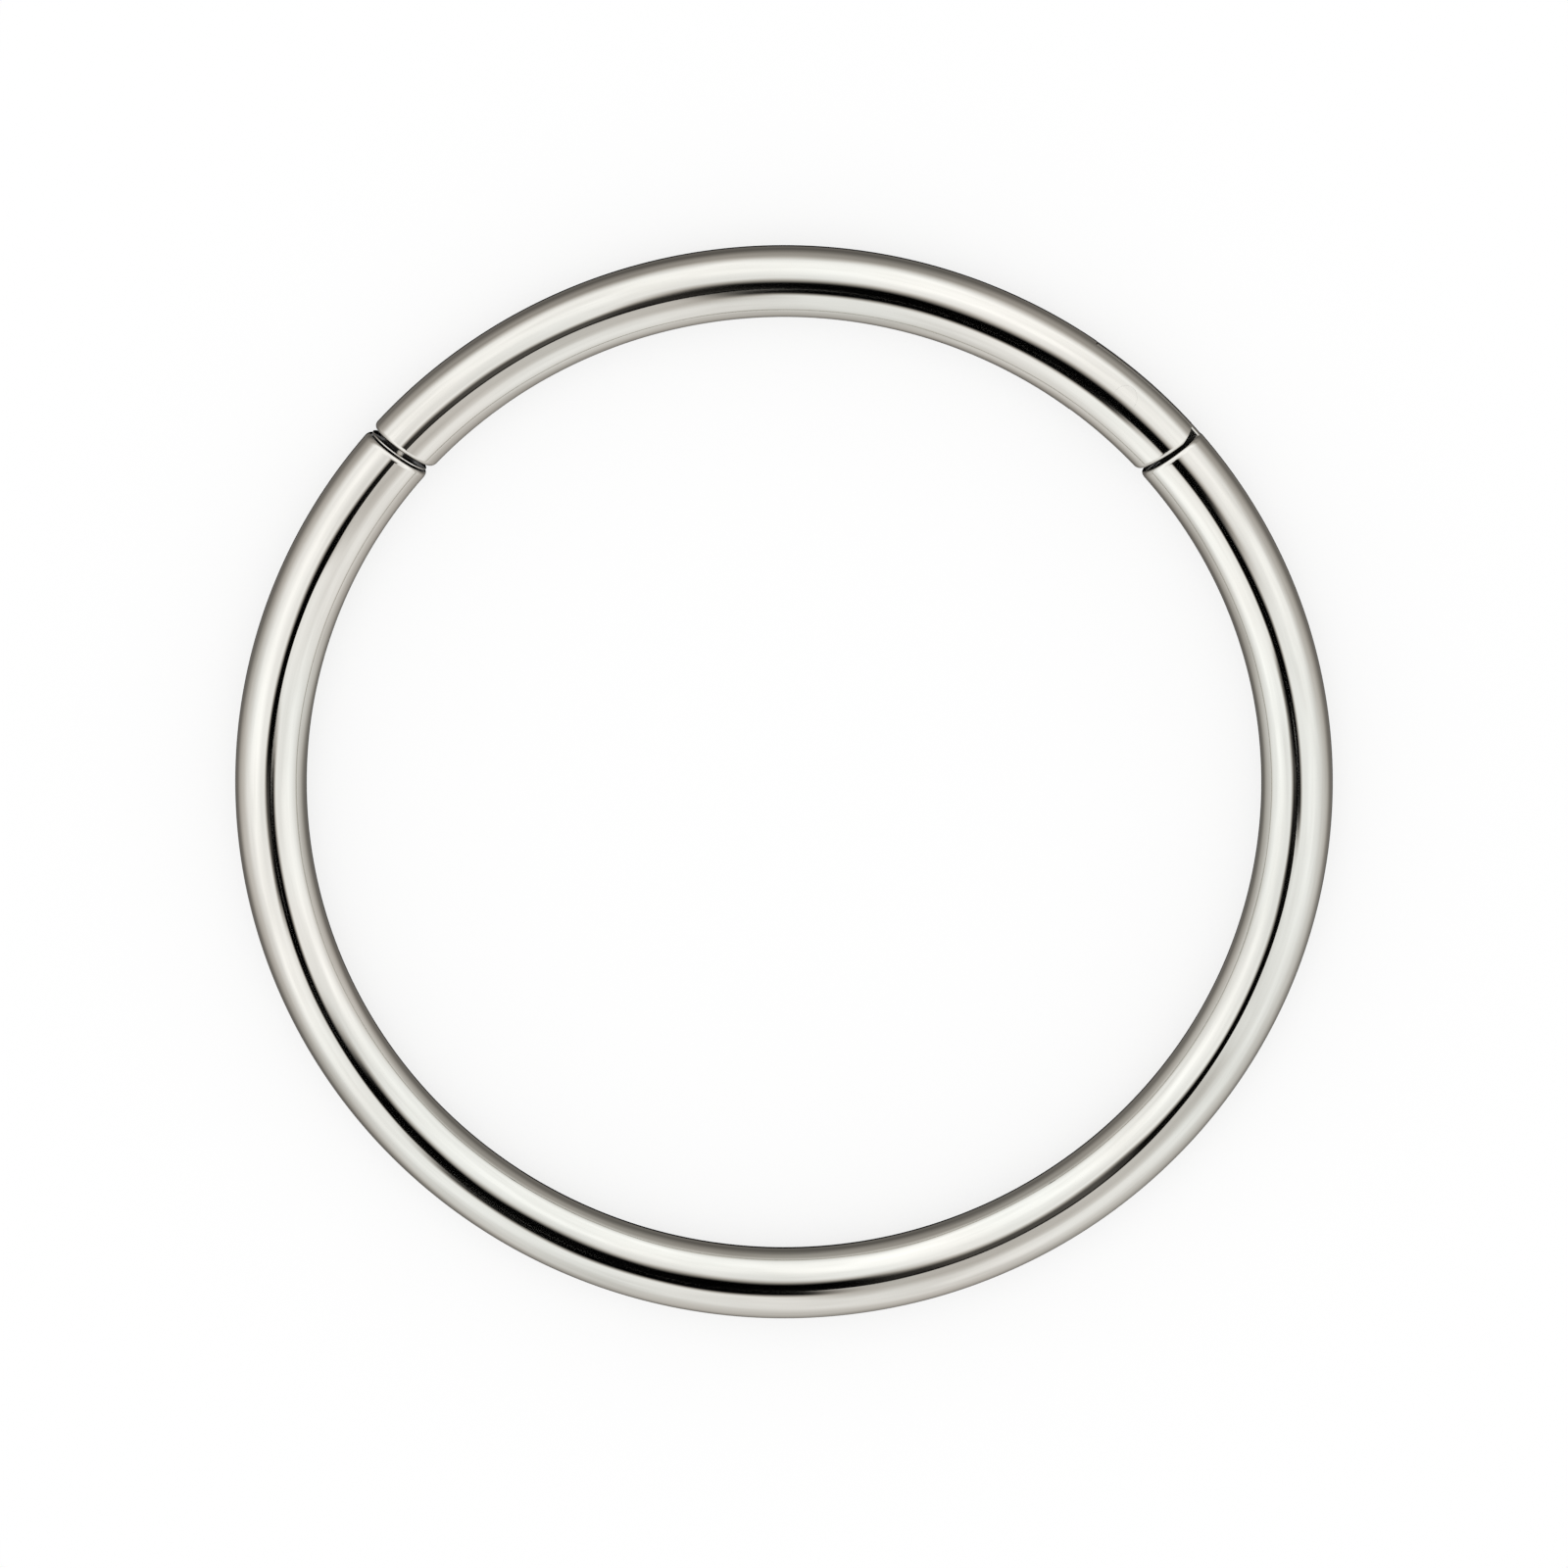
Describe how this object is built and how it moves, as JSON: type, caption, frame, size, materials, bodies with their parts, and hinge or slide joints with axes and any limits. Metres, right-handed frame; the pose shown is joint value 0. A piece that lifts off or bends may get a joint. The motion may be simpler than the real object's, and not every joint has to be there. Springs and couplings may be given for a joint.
{
  "type": "hinged segment ring",
  "caption": "Round wire ring for a body piercing, with a segment that swings outward on a flush pin and closes with a domed stud in a socket.",
  "frame": {"origin": "centre of the ring on the surface that it lies on", "axes": "+Z along the ring's axis, square to the plane of the ring; +Y through the middle of the segment; +X toward the hinge side"},
  "size_m": [0.0184, 0.0184, 0.0012],
  "materials": {
    "polished_steel": "mirror polished, slightly warm"
  },
  "bodies": {
    "ring": {"ring_body": "polished_steel"},
    "segment": {"segment": "polished_steel", "hinge_pin": "polished_steel", "latch_stud": "polished_steel"}
  },
  "joints": [
    {"name": "segment_hinge", "type": "hinge", "parent": "ring", "child": "segment", "pos_m": [0.00569, 0.00671, 0.0006], "axis": [0, 0, -1], "range_deg": [0, 100]}
  ]
}
